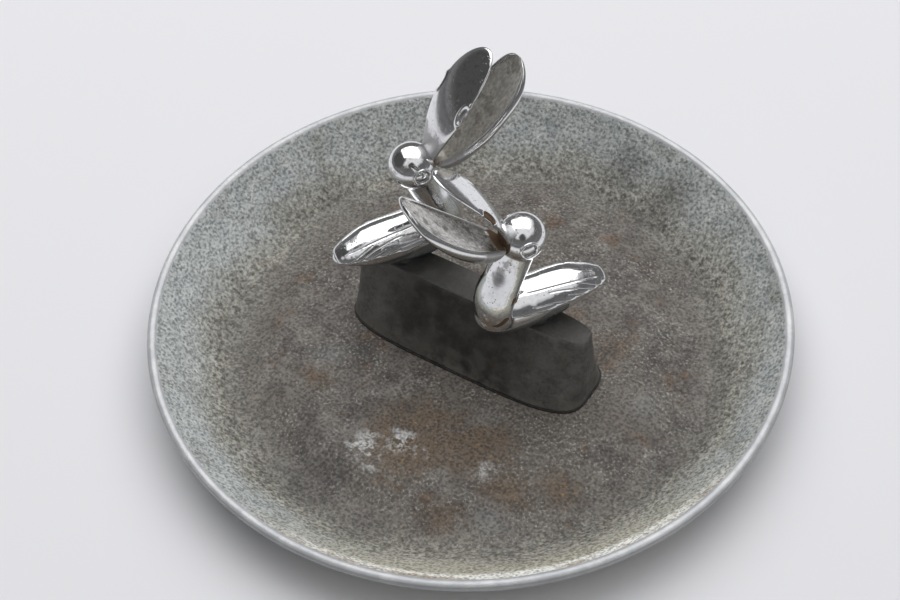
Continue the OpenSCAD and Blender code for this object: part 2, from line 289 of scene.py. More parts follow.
def chrome_material(name, dull_at):
    """Bright plating with fine pits and scuffs, dulled patches, and rust where the mesh says so."""
    m = Mat(name, metallic=1.0)
    wear = m.add(m.noise(7.0, 5, 0.6), m.mul(m.attr("dull"), 0.35))
    dull = m.ramp(wear, dull_at - 0.05, dull_at + 0.05)
    pits = m.mul(m.ramp(m.cells(1.5), 0.12, 0.24, 1.0, 0.0),
                 m.ramp(m.noise(9.0, 3, offset=(3, 1, 2)), 0.46, 0.58))
    scuff = m.ramp(m.noise(2.6, 6, 0.7, offset=(6, 3, 9)), 0.52, 0.66)
    speck = m.noise(1.3, 6, 0.7, offset=(1, 5, 2))
    rust = rust_mask(m, speck, 0.55, 0.62, 0.84)

    tone = m.mix(m.noise(14.0, 2), (0.79, 0.80, 0.82), (0.88, 0.88, 0.88))
    tone = m.over(tone, scuff, 0.45, (0.52, 0.52, 0.52))
    tone = m.mix(dull, tone, (0.56, 0.56, 0.56))
    tone = m.over(tone, pits, 0.75, (0.14, 0.13, 0.12))
    brown = m.mix(m.noise(2.2, 4), (0.065, 0.045, 0.03), (0.19, 0.115, 0.06))

    rough = m.ramp(m.noise(3.0, 6, 0.65), 0.3, 0.8, 0.06, 0.19)
    rough = m.mixf(dull, rough, 0.34)
    rough = m.mixf(m.attr("dull"), rough, 0.52)
    m.out(m.mix(rust, tone, brown), Roughness=m.mixf(rust, rough, 0.8), Metallic=m.mixf(rust, 1.0, 0.1))
    low = m.bump(m.noise(5.0, 3), 0.25, 0.12)
    m.bump(m.math("SUBTRACT", m.mul(rust, speck), m.mul(pits, 0.8)), 0.5, 0.15, low)
    return m.m


def bill_inside_material(name, dark, light, blot, rough):
    """Dull metal inside a bill, streaked from dark to light, with dark blots and a rusty root."""
    m = Mat(name, metallic=0.85)
    streak = m.noise(1.5, 5, 0.6, stretch=(1, 1, 0.2))
    blotch = m.noise(8.0, 5, 0.6, offset=(4, 2, 7))
    speck = m.noise(1.6, 6, 0.7, offset=(1, 5, 2))
    rust = rust_mask(m, speck, 0.6, 0.70, 0.98)
    tone = m.mix(m.ramp(streak, 0.30, 0.72), dark, light)
    tone = m.mix(m.ramp(blotch, 0.54, 0.60, 0.0, blot), tone, (0.12, 0.105, 0.09))
    brown = m.mix(m.noise(2.2, 4), (0.075, 0.05, 0.033), (0.21, 0.125, 0.07))
    m.out(m.mix(rust, tone, brown),
          Roughness=m.mixf(rust, m.ramp(blotch, 0.3, 0.7, rough, rough + 0.2), 0.85),
          Metallic=m.mixf(rust, 0.85, 0.1))
    m.bump(m.add(streak, m.mul(speck, 0.5)), 0.35, 0.2)
    return m.m


# stains on the dish: (x, y, radius) in millimetres
CHIPPED = [(-9, -77, 12), (4, -68, 10), (-1, -84, 7), (14, -67, 7), (45, -62, 8), (26, -76, 5)]
BROWN = [(8, -62, 30), (32, -50, 26), (58, -66, 18), (40, -92, 16), (78, -52, 15), (-48, -54, 14),
         (62, 30, 14)]
DARK = [(-39, -31, 9), (-111, -28, 10), (14, 128, 15), (40, 122, 17), (-20, -100, 20), (66, 52, 10)]
GREY = [(-52, -42, 12), (60, -80, 13), (30, -35, 12), (88, 8, 12)]


class DishTones:
    """The dish's textures, shared by the tones of its floor, ring, wall and bead."""

    def __init__(self, m):
        self.m = m
        sep = m.node("ShaderNodeSeparateXYZ")
        m.put(sep.inputs[0], m.co)
        self.x, self.y = sep.outputs[0], sep.outputs[1]
        join = m.node("ShaderNodeCombineXYZ")
        m.put(join.inputs[0], self.x)
        m.put(join.inputs[1], self.y)
        self.flat = join.outputs[0]
        self.wide = m.noise(46.0, 4, 0.6)
        self.mid = m.noise(12.0, 6, 0.62, offset=(2, 2, 2))
        self.fine = m.noise(2.4, 6, 0.7, offset=(5, 1, 3))
        self.grain = m.noise(1.3, 3, 0.6, offset=(7, 3, 1))
        # zinc that is left on the floor shows as pale grains
        self.grains = m.mul(m.ramp(self.grain, 0.56, 0.66),
                            m.ramp(m.noise(20.0, 4, offset=(1, 9, 4)), 0.42, 0.62))
        self.nick = m.ramp(m.noise(1.8, 4, 0.7, offset=(8, 8, 1)), 0.66, 0.72)
        self.r = self.radius(0, 0)
        # the bands wander, round a centre slightly off the axis, so the clean one is wider on one side
        wander = m.add(m.mul(self.wide, 0.030), m.mul(self.mid, 0.010))
        self.band_r = m.add(self.radius(4, -1), m.math("SUBTRACT", wander, 0.020))
        # the near side of the wall, which faces -Y and a little +X, is laid brightest as painted light, and
        # the bluest side faces -X
        self.near = m.ramp(m.math("SUBTRACT", m.mul(self.x, 0.62), m.mul(self.y, 0.78)), 0.085, 0.135)
        self.left = m.ramp(m.add(m.mul(self.x, -0.84), m.mul(self.y, -0.54)), 0.06, 0.13, 0.0, 0.45)

    def radius(self, x, y):
        """Distance in metres from the upright line through x and y, which are in millimetres."""
        m = self.m
        dx, dy = m.add(self.x, -x * MM), m.add(self.y, -y * MM)
        return m.math("SQRT", m.add(m.mul(dx, dx), m.mul(dy, dy)))

    def spots(self, places, blur, ragged):
        """Mask of round stains with blurred, ragged edges."""
        m = self.m
        total = 0.0
        for x, y, radius in places:
            away = m.node("ShaderNodeVectorMath", operation="DISTANCE")
            m.put(away.inputs[0], self.flat)
            away.inputs[1].default_value = (x * MM, y * MM, 0)
            edge = m.add(away.outputs["Value"], m.mul(m.math("SUBTRACT", self.mid, 0.5), ragged * MM))
            total = m.math("MAXIMUM", total, m.ramp(edge, radius * MM, (radius - blur) * MM))
        return total

    def floor(self):
        """Dark corroded floor with brown and orange rust, grey patches and flakes."""
        m, mid, fine = self.m, self.mid, self.fine
        tone = m.mix(m.ramp(mid, 0.32, 0.70), (0.085, 0.075, 0.068), (0.185, 0.172, 0.155))
        tone = m.mix(m.ramp(self.wide, 0.45, 0.62), tone, (0.150, 0.135, 0.118))
        tone = m.mix(m.ramp(fine, 0.30, 0.44, 0.75, 0.0), tone, (0.035, 0.032, 0.03))
        tone = m.over(tone, self.grains, 0.55, (0.46, 0.46, 0.43))
        chips = m.ramp(m.noise(5.5, 5, 0.62, offset=(9, 4, 4)), 0.70, 0.76)
        tone = m.over(tone, chips, 0.7, (0.60, 0.60, 0.58))
        rusty = m.ramp(m.noise(16.0, 6, 0.68, offset=(3, 8, 5)), 0.55, 0.70)
        tone = m.over(tone, rusty, 0.62, (0.135, 0.082, 0.048))
        orange = m.ramp(m.noise(3.6, 5, 0.6, offset=(6, 2, 8)), 0.70, 0.77)
        tone = m.over(tone, orange, 0.6, (0.27, 0.125, 0.045))
        brown = self.spots(BROWN, 16, 26)
        tone = m.over(tone, brown, m.ramp(mid, 0.30, 0.60, 0.25, 0.85), (0.120, 0.086, 0.056))
        crumbs = m.mul(brown, m.ramp(m.noise(2.2, 4, 0.6, offset=(3, 3, 8)), 0.60, 0.68))
        tone = m.over(tone, crumbs, 0.8, (0.30, 0.17, 0.075))
        tone = m.over(tone, self.spots(GREY, 12, 18), 0.55, (0.215, 0.215, 0.21))
        flakes = m.ramp(m.noise(5.0, 6, 0.66, offset=(9, 9, 4)), 0.47, 0.53)
        return m.over(tone, m.mul(self.spots(CHIPPED, 9, 16), flakes), 0.9, (0.50, 0.50, 0.49))

    def ring(self):
        """Pale ring with dark pinholes, between the floor and the wall."""
        m = self.m
        tone = m.mix(m.ramp(self.fine, 0.36, 0.60), (0.125, 0.12, 0.10), (0.36, 0.35, 0.31))
        return m.mix(m.ramp(self.mid, 0.50, 0.72, 0.0, 0.7), tone, (0.25, 0.245, 0.22))

    def wall(self):
        """Clean blue-grey zinc, with painted light on its near side and a painted highlight band towards the
        bead there.
        """
        m = self.m
        mottle = m.ramp(m.noise(9.0, 6, 0.6, offset=(2, 6, 1)), 0.30, 0.72)
        tone = m.mix(mottle, (0.315, 0.335, 0.335), (0.44, 0.455, 0.44))
        tone = m.mix(m.ramp(self.fine, 0.56, 0.72, 0.0, 0.5), tone, (0.58, 0.60, 0.57))
        stain = m.ramp(m.noise(26.0, 6, 0.66, offset=(7, 7, 3)), 0.50, 0.66)
        tone = m.over(tone, stain, 0.65, (0.205, 0.205, 0.175))
        # painted light: the near side of the wall is laid paler and warmer
        tone = m.over(tone, self.near, 0.75, (0.46, 0.43, 0.34))
        tone = m.mix(self.left, tone, (0.50, 0.53, 0.53))
        # painted highlight: a near-white band just inside the bead, on the near side only
        near_bead_highlight = m.mul(self.near, m.ramp(self.r, 0.1380, 0.1420))
        return m.over(tone, near_bead_highlight, m.ramp(self.mid, 0.25, 0.55, 0.55, 0.95), (0.86, 0.86, 0.82))

    def bead(self):
        """Bare bead, nearly white, with dark nicks."""
        m = self.m
        tone = m.mix(m.ramp(self.mid, 0.35, 0.7), (0.50, 0.515, 0.53), (0.66, 0.67, 0.68))
        return m.over(tone, self.nick, 0.7, (0.16, 0.15, 0.13))

    def seam(self):
        """Mask of the orange line of rust just inside the bead, in places on the near side."""
        m = self.m
        line = m.mul(m.ramp(self.r, 0.1420, 0.1438), m.ramp(self.r, 0.1460, 0.1450))
        return m.mul(line, m.mul(self.near, m.ramp(m.noise(26.0, 5, 0.6, offset=(4, 4, 9)), 0.40, 0.58)))


def dish_material():
    m = Mat("dish_zinc")
    d = DishTones(m)
    to_ring = m.ramp(m.add(d.band_r, m.mul(d.fine, 0.016)), 0.106, 0.134)
    to_wall = m.ramp(m.add(d.band_r, m.mul(d.fine, 0.012)), 0.126, 0.143)
    at_bead = m.ramp(m.add(d.r, m.mul(d.fine, 0.0014)), 0.1457, 0.1466)

    tone = m.mix(to_ring, d.floor(), d.ring())
    # painted shade: a darker band where the floor meets the foot of the wall, weaker on the lit near side
    dim = m.mul(m.ramp(d.band_r, 0.098, 0.108), m.ramp(d.band_r, 0.124, 0.114))
    tone = m.over(tone, dim, m.ramp(d.near, 0.0, 0.5, 0.35, 0.1), (0.08, 0.075, 0.07))
    tone = m.mix(to_wall, tone, d.wall())
    black = m.mul(d.spots(DARK, 12, 24), m.ramp(d.fine, 0.25, 0.6, 0.9, 0.45))
    tone = m.over(tone, black, 0.75, (0.075, 0.072, 0.068))
    tone = m.over(tone, d.seam(), 0.6, (0.27, 0.175, 0.085))
    tone = m.mix(at_bead, tone, d.bead())
    # the outermost part of the curl, where it turns under, is laid darker grey
    tone = m.over(tone, m.ramp(d.r, 0.1492, 0.1497), 0.5, (0.20, 0.20, 0.19))
    # gritty grain over everything but the bead
    salt = m.add(m.mul(m.ramp(d.grain, 0.32, 0.68), 0.62),
                 m.mul(m.ramp(m.cells(1.9, offset=(2, 2, 2)), 0.15, 0.75), 0.38))
    scale = m.node("ShaderNodeVectorMath", operation="SCALE")
    m.put(scale.inputs[0], tone)
    m.put(scale.inputs["Scale"], m.mixf(at_bead, m.ramp(salt, 0.1, 0.9, 0.62, 1.42), 1.0))
    m.out(scale.outputs[0], Metallic=m.mul(m.ramp(d.band_r, 0.118, 0.136), 0.25),
          Roughness=m.mixf(at_bead, m.ramp(d.fine, 0.3, 0.7, 0.62, 0.86), 0.36))

    # the floor is rougher than the wall, and the wall has small drops of zinc
    rough_floor = m.math("SUBTRACT", 1.0, m.mul(to_wall, 0.75))
    low = m.bump(m.mul(d.mid, rough_floor), 0.7, 1.1)
    drops = m.mul(m.ramp(m.cells(3.4, offset=(1, 1, 5)), 0.42, 0.16),
                  m.mul(to_ring, m.ramp(at_bead, 0.0, 0.5, 1.0, 0.0)))
    low = m.bump(drops, 0.5, 0.35, low)
    low = m.bump(m.mul(m.add(d.fine, m.mul(d.grains, 0.6)), rough_floor), 0.85, 0.5, low)
    m.bump(m.mul(d.nick, -1.0), 0.4, 0.2, low)
    return m.m


def casting_material():
    """Weathered dark casting: lighter at its ends and foot, the ends partly with painted light, with painted
    shade in the middle and on top, where the birds sit, and specks of rust.
    """
    m = Mat("weathered_casting")
    place = m.node("ShaderNodeSeparateXYZ")
    m.put(place.inputs[0], m.co)
    x, z = place.outputs[0], place.outputs[2]
    facing = m.node("ShaderNodeSeparateXYZ")
    m.put(facing.inputs[0], m.node("ShaderNodeNewGeometry").outputs["Normal"])
    mid = m.noise(9.0, 6, 0.62)
    fine = m.noise(1.8, 6, 0.7, offset=(3, 3, 3))
    wide = m.noise(30.0, 3, 0.5, offset=(1, 6, 2))
    tone = m.mix(m.ramp(mid, 0.34, 0.68), (0.055, 0.053, 0.051), (0.16, 0.155, 0.145))
    tone = m.mix(m.ramp(wide, 0.5, 0.68), tone, (0.15, 0.145, 0.135))
    ends = m.ramp(m.math("ABSOLUTE", m.math("SUBTRACT", x, 0.002)), 0.018, 0.048)
    # painted shade: the middle of the casting, under the birds, is laid darker
    tone = m.over(tone, m.math("SUBTRACT", 1.0, ends), 0.55, (0.055, 0.053, 0.052))
    # the ends are laid lighter in patches, partly dust and partly painted light outside the birds' shade
    tone = m.over(tone, ends, m.ramp(fine, 0.25, 0.65, 0.25, 0.7), (0.24, 0.235, 0.225))
    # painted shade: faces that look up, on top under the birds, are laid darker in patches
    top_shade = m.mul(m.ramp(facing.outputs[2], 0.35, 0.95), m.ramp(fine, 0.2, 0.7, 0.6, 1.0))
    tone = m.over(tone, top_shade, 0.9, (0.060, 0.058, 0.055))
    foot = m.mul(m.ramp(z, 0.020, 0.007), m.ramp(mid, 0.38, 0.60))
    tone = m.over(tone, foot, 0.6, (0.17, 0.155, 0.135))
    rust = m.ramp(m.noise(5.0, 6, 0.68, offset=(2, 7, 4)), 0.64, 0.72)
    tone = m.over(tone, rust, 0.65, (0.15, 0.075, 0.035))
    specks = m.ramp(m.noise(1.6, 3, offset=(5, 5, 1)), 0.70, 0.76)
    tone = m.over(tone, specks, m.ramp(z, 0.022, 0.010), (0.35, 0.16, 0.06))
    m.out(tone, Roughness=m.ramp(mid, 0.3, 0.7, 0.42, 0.70), Metallic=m.ramp(mid, 0.35, 0.7, 0.55, 0.15))
    low = m.bump(mid, 0.55, 0.9)
    m.bump(fine, 0.5, 0.35, low)
    return m.m


def plain_metal(name, bright, dark, rough):
    """Plain steel with a little rust."""
    m = Mat(name, metallic=0.9)
    n = m.noise(2.0, 5, 0.6)
    rust = m.ramp(m.noise(2.6, 5, 0.65, offset=(4, 1, 1)), 0.64, 0.72)
    tone = m.over(m.mix(m.ramp(n, 0.35, 0.7), dark, bright), rust, 0.7, (0.20, 0.10, 0.05))
    m.out(tone, Roughness=m.ramp(n, 0.3, 0.7, rough - 0.08, rough + 0.12), Metallic=m.mixf(rust, 0.9, 0.2))
    m.bump(n, 0.2, 0.1)
    return m.m


def gasket_material():
    m = Mat("gasket_black", roughness=0.75)
    n = m.noise(2.2, 5, 0.65)
    m.out(m.mix(m.ramp(n, 0.35, 0.72), (0.012, 0.012, 0.012), (0.055, 0.05, 0.046)))
    m.bump(n, 0.4, 0.2)
    return m.m


chrome = chrome_material("bird_chrome", 0.66)
head_chrome = chrome_material("bird_chrome_worn", 0.60)
inside = bill_inside_material("bill_inside", (0.45, 0.43, 0.39), (0.74, 0.72, 0.67), 0.45, 0.36)
inside_bright = bill_inside_material("bill_inside_bright", (0.34, 0.32, 0.29), (0.84, 0.83, 0.80),
                                     0.7, 0.17)
zinc = dish_material()
casting = casting_material()
rubber = gasket_material()
screw_steel = plain_metal("fastener_steel", (0.55, 0.55, 0.56), (0.32, 0.32, 0.33), 0.34)
wire_steel = plain_metal("bright_wire", (0.55, 0.55, 0.55), (0.38, 0.38, 0.38), 0.30)


SIDES = {1: "left", -1: "right"}


def finish_piece(ob, node, slot, *materials):
    """Gives a piece its materials, and puts it in the place of a CAD node."""
    ob.data.materials.clear()
    for m in materials:
        ob.data.materials.append(m)
    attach(ob, "root")
    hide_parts(node)


# ---------------------------------------------------------------- the dish
def ease(t):
    """Smooth rise from 0 to 1, level at both ends."""
    return (1 - math.cos(math.pi * t)) / 2


def dish_line():
    """Middle of the sheet, from the axis out to the end of the curl, as radius and height."""
    wall_end = (BEAD_AT - CURL_R * math.sin(math.radians(WALL_RISE)),
                RIM_Z + CURL_R * math.cos(math.radians(WALL_RISE)))
    bend = (wall_end[0] - (wall_end[1] - SHEET / 2) / math.tan(math.radians(WALL_RISE)), SHEET / 2)
    pts = [(r, CROWN_H + SHEET / 2) for r in np.linspace(0.6, CROWN_R - 1, 34)]
    pts += [(CROWN_R + (RING_IN - CROWN_R) * t, SHEET / 2 + CROWN_H * (1 - ease(t)))
            for t in np.linspace(0, 1, 22)]
    pts += [(r, SHEET / 2) for r in (107.2, 109, 111, 112.8)]
    for t in np.linspace(0, 1, 34):
        pts.append(tuple((1 - t) ** 2 * a + 2 * t * (1 - t) * b + t * t * c
                         for a, b, c in zip((RING_OUT, SHEET / 2), bend, wall_end)))
    for i in range(1, 37):
        a = math.radians(90 + WALL_RISE - CURL_TURN * i / 36)
        pts.append((BEAD_AT + CURL_R * math.cos(a), RIM_Z + CURL_R * math.sin(a)))
    return np.array(pts)


def build_dish():
    """The pressed sheet, turned round the axis, with worn dents and a slightly uneven bead."""
    line = dish_line()
    d = np.gradient(line, axis=0)
    d /= np.linalg.norm(d, axis=1)[:, None]
    side = np.stack([-d[:, 1], d[:, 0]], -1) * SHEET / 2
    top, low = line + side, line - side
    low[0, 0] = top[0, 0] = line[0, 0]
    loop = np.concatenate([top, low[::-1]])
    n = 600
    a = 2 * math.pi * np.arange(n) / n
    pts = np.stack([loop[:, 0:1] * np.cos(a), loop[:, 0:1] * np.sin(a), np.repeat(loop[:, 1:2], n, 1)], -1)
    r = loop[:, 0:1]
    # hand-worn unevenness of the sheet: both faces move together, nothing at the rim or under the foot
    flat = np.stack([pts[..., 0], pts[..., 1], np.zeros_like(pts[..., 0])], -1)
    dent = (value_noise(flat, 34, 3) - 0.5) * 0.9 + (value_noise(flat, 13, 4) - 0.5) * 0.35
    keep = step(r, 66, 80) * (1 - step(r, 138, 145))
    pts[..., 2] += np.where(pts[..., 2] > 1.3, dent * keep, np.maximum(dent * keep, 0))
    # bead: slightly uneven rolling
    ang = np.stack([np.cos(a) * 60, np.sin(a) * 60, 0 * a], -1)
    wave = (value_noise(ang, 9, 5) - 0.5)[None] * step(r, 143, 146) * 0.22
    pts[..., 2] -= np.abs(wave)
    m = len(loop)
    faces = []
    for here, there in zip(range(0, m * n, n), [*range(n, m * n, n), 0]):
        faces += [(here + k, here + (k + 1) % n, there + (k + 1) % n, there + k) for k in range(n)]
    ob = new_mesh("dish", pts.reshape(-1, 3), faces)
    finish_piece(ob, "dish_pan", "galvanised_sheet", zinc)


# ---------------------------------------------------------------- the pedestal
def oblong(a, b, z, n):
    """Rounded outline at height z, with half length a and half width b."""
    t = 2 * math.pi * np.arange(n) / n
    c, s = np.cos(t), np.sin(t)
    return np.stack([PEDESTAL_SHIFT + a * np.sign(c) * np.abs(c) ** (2 / SQUARENESS),
                     b * np.sign(s) * np.abs(s) ** (2 / SQUARENESS), np.full(n, z)], -1)


def build_pedestal():
    """The tapered casting, with slightly dished sides and a rough skin."""
    h, edge, n = TOP_Z - FOOT_Z, TOP_EDGE, 260

    def half(u, foot, top):
        return foot / 2 + (top - foot) / 2 * (1 - (1 - u) ** HOLLOWNESS)

    rings = []
    for u in np.linspace(0, 1 - edge / h, 60):
        rings.append(oblong(half(u, FOOT_L, TOP_L), half(u, FOOT_W, TOP_W), FOOT_Z + u * h, n))
    for t in np.radians(np.linspace(8, 90, 10)):
        k = edge * (1 - math.cos(t))
        rings.append(oblong(TOP_L / 2 - k, TOP_W / 2 - k, TOP_Z - edge * (1 - math.sin(t)), n))
    for f in (0.85, 0.7, 0.5, 0.3, 0.12, 0.02):
        rings.append(oblong((TOP_L / 2 - edge) * f, (TOP_W / 2 - edge) * f, TOP_Z, n))
    p = np.array(rings)
    # rough sand-cast skin, only ever inwards
    centre = np.array([PEDESTAL_SHIFT, 0, 0])
    out = p - centre
    out[..., 2] = 0
    out /= np.maximum(np.linalg.norm(out, axis=-1), 1e-6)[..., None]
    rough = value_noise(p, 11, 11) * 0.55 + value_noise(p, 4, 12) * 0.25
    u = (p[..., 2] - FOOT_Z) / h
    p = p - out * (rough * step(u, 0.0, 0.08) * (1 - step(u, 0.97, 1.0)))[..., None]
    top = step(u, 0.985, 1.0)
    p[..., 2] -= top * (value_noise(p, 7, 13) * 0.25)
    ob = new_mesh("pedestal_body", p.reshape(-1, 3), ring_faces(len(p), n))
    finish_piece(ob, "pedestal", "weathered_casting", casting)


# ---------------------------------------------------------------- the birds
TRUNK = [(-54.2, 34.0, 1.0, 0.8, 0.8), (-53.0, 34.0, 3.4, 2.5, 2.0), (-50.0, 34.2, 5.3, 4.1, 3.3),
         (-46.0, 34.4, 6.8, 5.7, 4.6),
         (-35.0, 34.6, 9.4, 9.2, 9.4), (-20.0, 34.0, 10.6, 10.6, 11.7), (-6.0, 34.0, 10.8, 11.0, 11.4),
         (2.0, 35.0, 9.6, 9.4, 9.2), (7.0, 36.4, 6.0, 6.0, 6.0), (8.6, 37.0, 2.0, 2.0, 2.0)]
NECK = [(-6.0, 25.8, 3.6, 3.0, 3.0), (-5.0, 28.4, 8.4, 4.4, 7.8), (-3.0, 35.0, 11.0, 4.6, 11.2),
        (-2.0, 43.0, 11.6, 4.2, 11.2), (-4.6, 54.0, 10.2, 6.2, 9.6), (-8.6, 65.0, 8.8, 7.8, 8.6),
        (-13.2, 78.0, 8.6, 8.2, 8.4)]
UPPER = dict(root=(-5.3, 80.1), rise=58.6, length=60, bow=4.2, width=12.6, share=0.36, blunt=1.0,
             deep=4.2, lost=0.6, side=1, roll=1.3, round=2.2)
LOWER = dict(root=(-3.6, 79.0), rise=44.5, length=61, bow=-3.1, width=13.6, share=0.42, blunt=0.55,
             deep=13.0, lost=0.75, side=-1, roll=2.6, round=3.0)
WIDEST, LIP_H, HOLLOW_H = 0.55, 0.7, 1.9


def place(bird):
    """Where the bird's own frame lies on the ornament."""
    turn = BIRD_TURN + (180 if bird == "rear" else 0)
    return (Matrix.Translation((0, 0, RIM_Z * MM)) @ Matrix.Rotation(math.radians(turn), 4, "Z")
            @ Matrix.Translation((0, BIRD_SIDE * MM, 0)))


def move(ob, bird):
    ob.data.transform(place(bird))


def sphere_rings(centre, r, m=60, n=96):
    t = np.linspace(0.02, math.pi - 0.02, m)[:, None]
    a = 2 * math.pi * np.arange(n)[None] / n
    return np.stack([centre[0] + r * np.sin(t) * np.cos(a), centre[1] + r * np.sin(t) * np.sin(a),
                     centre[2] + r * np.cos(t) + 0 * a], -1)


def build_body(bird):
    """Trunk, neck, head and foot, blended into one skin, with flat seats for the eyes."""
    shells = [oval_rings(refine(TRUNK, 8), 96), oval_rings(refine(NECK, 8), 96),
              sphere_rings(HEAD_AT, HEAD_R)]
    a = 2 * math.pi * np.arange(64) / 64
    shells.append(np.array([[(SCREW_F + FOOT_R * math.cos(t), FOOT_R * math.sin(t), z) for t in a]
                            for z in (22.0, 25.0, 30.0)]))
    points, faces = [], []
    for s in shells:
        faces += ring_faces(s.shape[0], s.shape[1], len(points))
        points += list(s.reshape(-1, 3))
    ob = new_mesh(bird + "_body", points, faces)
    mod = ob.modifiers.new("blend", "REMESH")
    mod.mode = "VOXEL"
    mod.voxel_size = VOXEL * MM
    mod = ob.modifiers.new("soften", "SMOOTH")
    mod.factor = 0.5
    mod.iterations = 14
    bake(ob)
    p = coords(ob)
    # seats for the eyes
    tilt = math.radians(EYE_TILT)
    for side in (1, -1):
        axis = np.array([0, side * math.sin(tilt), math.cos(tilt)])
        q = p - np.array([EYE_AT[0], side * EYE_AT[1], EYE_AT[2]])
        up = q @ axis
        away = np.linalg.norm(q - up[:, None] * axis, axis=1)
        sink = (away < EYE_D / 2 - 0.2) & (up > -0.5)
        p = p - np.where(sink, up + 0.6, 0.0)[:, None] * axis
    set_coords(ob, p)
    crease = np.abs(wing_crease_distance(p))
    grime = 0.75 * (1 - step(crease, 0.6, 2.6)) * step(value_noise(p, 5, 21), 0.35, 0.6)
    mouth = np.linalg.norm(p - np.array([-2.0, 0, 80.0]), axis=1)
    grime = np.maximum(grime, 0.8 * (1 - step(mouth, 5.5, 8.5)))
    paint(ob, grime=grime)
    # the worn chrome of the head starts above the neck
    worn = p[:, 2] > 66
    index = np.array([worn[f.vertices[0]] for f in ob.data.polygons], dtype=np.int32)
    move(ob, bird)
    finish_piece(ob, bird + "_bird_body", "bird_chrome", chrome, head_chrome)
    ob.data.polygons.foreach_set("material_index", index)


# A wing is a shell over the flank, measured by f (forward) and a (angle round the trunk, where the
# ridge is at 90). ARC is the millimetres along the flank for each degree.
TRUNK_FINE = refine(TRUNK, 24)
WING_REAR, WING_LENGTH, ARC = -53.2, 42, 0.19


def trunk_at(f):
    """The trunk's middle height, half width, and depth up and down, at f."""
    return [np.interp(f, TRUNK_FINE[:, 0], TRUNK_FINE[:, k]) for k in range(1, 5)]


def trunk_point(f, a, grow):
    """A point that lies grow millimetres outside the trunk."""
    z, w, up, low = trunk_at(f)
    s, c = np.sin(np.radians(a)), np.cos(np.radians(a))
    return np.stack([f + 0 * a, c * (w + grow), z + s * (np.where(s > 0, up, low) + grow)], -1)


def wing_front(a):
    """Where the wing's front edge lies."""
    return -8.2 + (76 - a) * 0.17


def wing_crease_distance(p):
    """Rough distance in millimetres from the line where wing and neck meet."""
    a = np.degrees(np.arctan2(p[:, 2] - trunk_at(p[:, 0])[0], np.abs(p[:, 1]) + 1e-6))
    d = p[:, 0] - wing_front(a)
    return np.where((a > 0) & (p[:, 2] < 52), d, 99.0)


def wing_low(f):
    """Where the wing's lower edge lies."""
    return np.interp(-f, [0, 3, 11.5, 19, 30, 45, 50, 52], [28, 24, 17, 12, 11, 10, 14, 20])


FEATHERS = [  # edge lines (f, a), from the shoulder to the feather's tip
    [(-22, 54), (-26, 52), (-30, 48), (-36.5, 40), (-42, 27), (-46, 13)],
    [(-36, 55), (-41.75, 43), (-46, 29), (-49.75, 12)],
    [(-13, 35), (-24, 29), (-29, 21), (-34.75, 11)],
    [(-31, 34), (-38.75, 19), (-41.75, 10)],
    [(-6, 24), (-14, 22), (-20, 17), (-25, 11)],
]


def wing_height(f, a):
    """Thickness of the folded wing over the trunk."""
    h = np.full(np.shape(f), 1.15)
    fold = (a - np.interp(f, [-46, -36, -24, -12], [54, 56, 62, 67])) * ARC
    h = h - 0.34 * np.exp(-(fold / 0.36) ** 2) * step(f, -50, -45) * (1 - step(f, -15, -12))
    for line in FEATHERS:
        lf, la = np.array(line[::-1], float).T
        steep = np.interp(f, lf, np.gradient(la, lf))
        d = (a - np.interp(f, lf, la)) * ARC / np.sqrt(1 + (steep * ARC) ** 2)
        within = step(f, lf[0] - 0.6, lf[0] + 0.2) * (1 - step(f, lf[-1] - 3.0, lf[-1] + 0.5))
        # a step at the edge that fades upwards, with a rounded lip
        rise = step(d, -0.34, 0.16) * np.exp(-np.maximum(d, 0) / 3.2)
        groove = np.exp(-((d + 0.45) / 0.34) ** 2)
        h = h + within * (0.34 * rise - 0.16 * groove)
    return h


